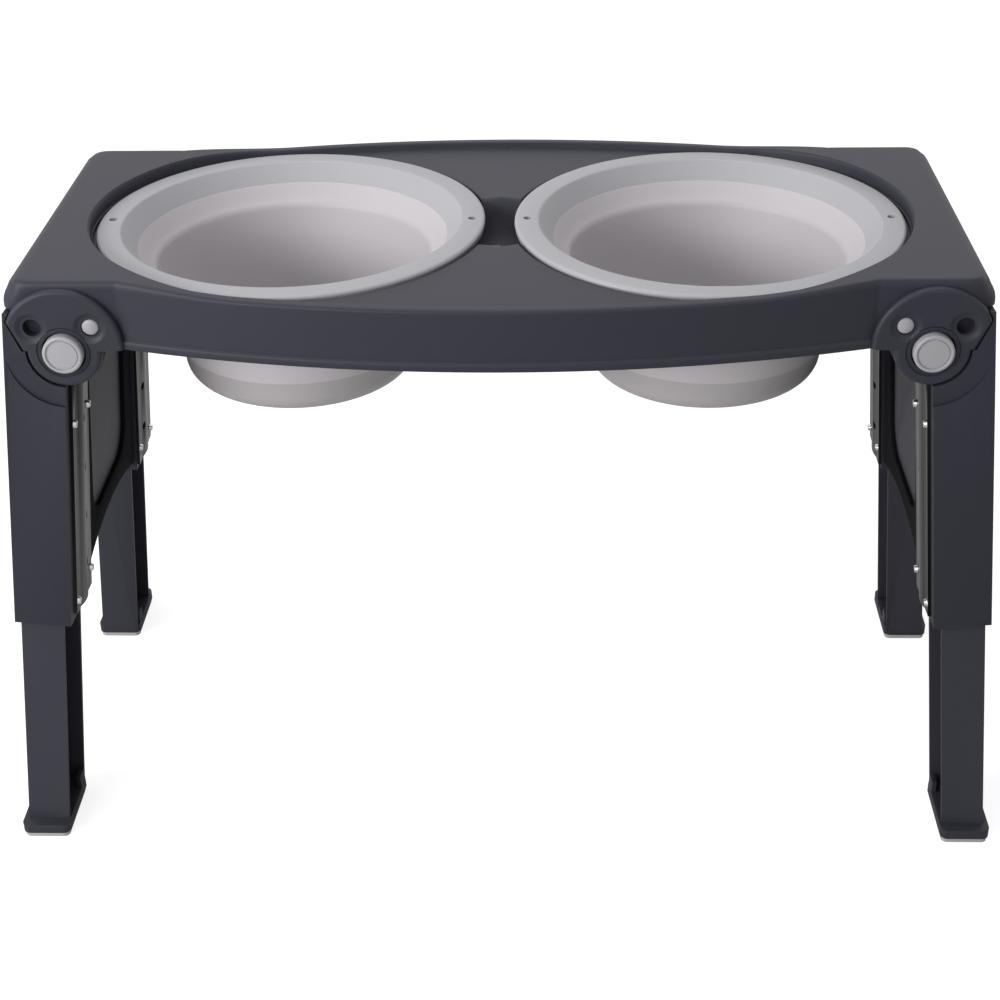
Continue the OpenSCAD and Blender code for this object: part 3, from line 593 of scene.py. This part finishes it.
# Leg frames: each is one moulded shell of two upper legs and a side panel, with a dark inner web and
# bulged covers screwed over the legs' inner sides. The measured solids are copied and their edges rounded.
shell_round, web_round, cover_round, screw_round = 1.0, 0.6, 0.4, 0.12
flat_deg, round_from_deg, round_segments = 1.0, 28, 3
shell_slate = moulded_material("leg_slate", (0.027, 0.0275, 0.039), roughness=0.52, grain=1500.0,
                               bump_mm=0.10, specular=0.2)
cover_black = moulded_material("cover_black", (0.008, 0.008, 0.008), roughness=0.28, grain=1100.0,
                               bump_mm=0.02, specular=0.20)
web_black = moulded_material("web_black", (0.010, 0.0104, 0.012), roughness=0.85, grain=1100.0,
                             bump_mm=0.04, specular=0.02)
zinc = moulded_material("zinc_screw", (0.62, 0.62, 0.63), roughness=0.28, grain=2500.0,
                        bump_mm=0.02, metallic=1.0)


def eased_copy(node, material, body, width_mm):
    """Copy of a measured solid with its doubles merged, flat triangles joined and sharp edges rounded."""
    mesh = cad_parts[node].data.copy()
    work = bmesh.new()
    work.from_mesh(mesh)
    bmesh.ops.remove_doubles(work, verts=work.verts, dist=merge_m)
    bmesh.ops.dissolve_limit(work, angle_limit=radians(flat_deg), verts=work.verts, edges=work.edges)
    work.to_mesh(mesh)
    work.free()
    mesh.polygons.foreach_set("use_smooth", np.ones(len(mesh.polygons), dtype=bool))
    mesh.materials.clear()
    mesh.materials.append(material)
    made = bpy.data.objects.new(node + "_moulding", mesh)
    bpy.context.scene.collection.objects.link(made)
    rounding = made.modifiers.new("rounded_edges", "BEVEL")
    rounding.width = width_mm * MM
    rounding.segments = round_segments
    rounding.limit_method = "ANGLE"
    rounding.angle_limit = radians(round_from_deg)
    rounding.harden_normals = True
    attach(made, body)
    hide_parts(node)


for side in ("left", "right"):
    eased_copy("leg_shell_" + side, shell_slate, "leg_frame_" + side, shell_round)
    eased_copy("leg_web_" + side, web_black, "leg_frame_" + side, web_round)
for corner in corners:
    frame_body = "leg_frame_" + corner.split("_")[1]
    eased_copy("leg_cover_" + corner, cover_black, frame_body, cover_round)
    eased_copy("cover_screws_" + corner, zinc, frame_body, screw_round)

# Lower legs: channel mouldings that slide in the upper legs, each with a foot, a spring latch of steel
# and a pale non-slip sole bonded under the foot.
lower_round, latch_round, sole_round = 1.0, 0.2, 0.8
# The lower legs' slate is a lighter copy of the leg slate. This is painted light, standing in for the
# brighter light on the lower legs.
lower_slate_painted_light = moulded_material("lower_leg_slate_painted_light", (0.034, 0.0343, 0.046), roughness=0.5, grain=1500.0,
                               bump_mm=0.10, specular=0.2)
sole_grey = moulded_material("sole_rubber", (0.46, 0.46, 0.45), roughness=0.75, grain=700.0, bump_mm=0.12)
latch_steel = moulded_material("latch_steel", (0.5, 0.5, 0.5), roughness=0.35, grain=2500.0,
                               bump_mm=0.02, metallic=1.0)
for corner in corners:
    eased_copy("lower_leg_" + corner, lower_slate_painted_light, "lower_" + corner, lower_round)
    eased_copy("leg_latch_" + corner, latch_steel, "lower_" + corner, latch_round)
    eased_copy("foot_sole_" + corner, sole_grey, "lower_" + corner, sole_round)

# Pivot locks: a bush in each hub turns in the ear, and a sprung round button in its middle draws back
# the lock pin that shows in the ear's inner hole. A cap closes the hub behind the spring.
button_r, button_front, slide_y = 12.4, -126.6, -110.4
button_dish = [[0.0, 0.25], [5.0, 0.3], [9.0, 0.5]]
button_groove = [[9.3, 1.0], [9.9, 1.0], [10.2, 0.35]]
button_lip_at, button_lip_r, button_edge_r = 10.6, 0.4, 1.5
pin_r, pin_root, pin_tip = 5.2, -118.0, -121.6
pin_crown, pin_face_in, pin_face_rings, pin_edge_r, pin_edge_at = 0.9, 0.8, 10, 0.9, 1.9
spring_r, wire_r, spring_turns, press_travel = 7.2, 0.65, 2.5, 5.2
coil_points, wire_sides, wire_tip, spring_sharp_deg = 28, 12, 1e-3, 60.0
slide_round, bush_round, cap_round, button_sides = 0.3, 0.3, 0.4, 96
button_grey = moulded_material("button_grey", (0.37, 0.37, 0.39), roughness=0.42, grain=1600.0,
                               bump_mm=0.04, patches=0.04)
spring_steel = moulded_material("spring_steel", (0.6, 0.6, 0.6), roughness=0.35, grain=2500.0,
                                bump_mm=0.02, metallic=1.0)


def coil(radius, wire, turns, centre, low, high):
    """A wire circle carried along a helix about a pivot axis, closed to a point at both ends.

    With t along the helix and a round the wire, r = radius + w cos a and y = low + rise t + w sin a.
    """
    t = 2 * pi * turns * np.concatenate([[0], np.linspace(0, 1, int(coil_points * turns)), [1]])[:, None]
    w = wire * np.concatenate([[wire_tip], np.ones(t.size - 2), [wire_tip]])[:, None]
    a = np.linspace(0, 2 * pi, wire_sides + 1)[None, :-1]
    y = low + wire + (high - low - 2 * wire) * t / t[-1] + w * np.sin(a)
    r = radius + w * np.cos(a)
    return np.stack([centre[0] + r * np.cos(t), y, centre[1] + r * np.sin(t)], -1)


button_long, pin_long = slide_y - button_front, pin_root - pin_tip
button_profile = np.concatenate([
    button_dish, button_groove, arc(button_lip_at, button_lip_r, button_lip_r, 235, 270, 4),
    arc(button_r - button_edge_r, button_edge_r, button_edge_r, 270, 360, 7),
    [[button_r, button_long], [0.0, button_long]]])
pin_face_r = np.linspace(0.0, pin_r - pin_face_in, pin_face_rings)
pin_face_depth = pin_crown * np.linspace(0, 1, pin_face_rings) ** 2
pin_profile = np.concatenate([
    np.stack([pin_face_r, pin_face_depth], -1), arc(pin_r - pin_edge_r, pin_edge_at, pin_edge_r, 290, 360, 5),
    [[pin_r, pin_long], [0.0, pin_long]]])
button_round = np.linspace(0, 2 * pi, button_sides + 1)[:-1]
pivot_at = (-pivot_x, pivot_z)
pin_at = (hole_places[0][0] - pivot_x, hole_places[0][1] + pivot_z)
spring_ends = [corner_at[1] / MM for corner_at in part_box("lock_spring_front_left")]
button_points = turned_front(button_profile, button_round, pivot_at, button_front)
button_faces = grid_faces(*button_points.shape[:2], True, False)
pin_points = turned_front(pin_profile, button_round, pin_at, pin_tip)
pin_faces = grid_faces(*pin_points.shape[:2], True, False)
spring_points = coil(spring_r, wire_r, spring_turns, pivot_at, *spring_ends)
spring_faces = grid_faces(*spring_points.shape[:2], False, True)
for corner, (flip_x, flip_y) in corners.items():
    flip = (flip_x, flip_y, 1)
    frame_body, lock_body = "leg_frame_" + corner.split("_")[1], "lock_" + corner
    button = make_piece("push_button_" + corner, button_points * flip, button_faces, button_grey, lock_body)
    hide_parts("lock_button_" + corner)
    pin = make_piece("lock_pin_tip_" + corner, pin_points * flip, pin_faces, button_grey, lock_body)
    eased_copy("lock_slide_" + corner, button_grey, lock_body, slide_round)
    eased_copy("pivot_bush_" + corner, shell_slate, frame_body, bush_round)
    spring = make_piece("return_spring_" + corner, spring_points * flip, spring_faces, spring_steel,
                        frame_body, spring_sharp_deg)
    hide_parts("lock_spring_" + corner)
    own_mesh(spring)
    eased_copy("lock_cap_" + corner, shell_slate, frame_body, cap_round)
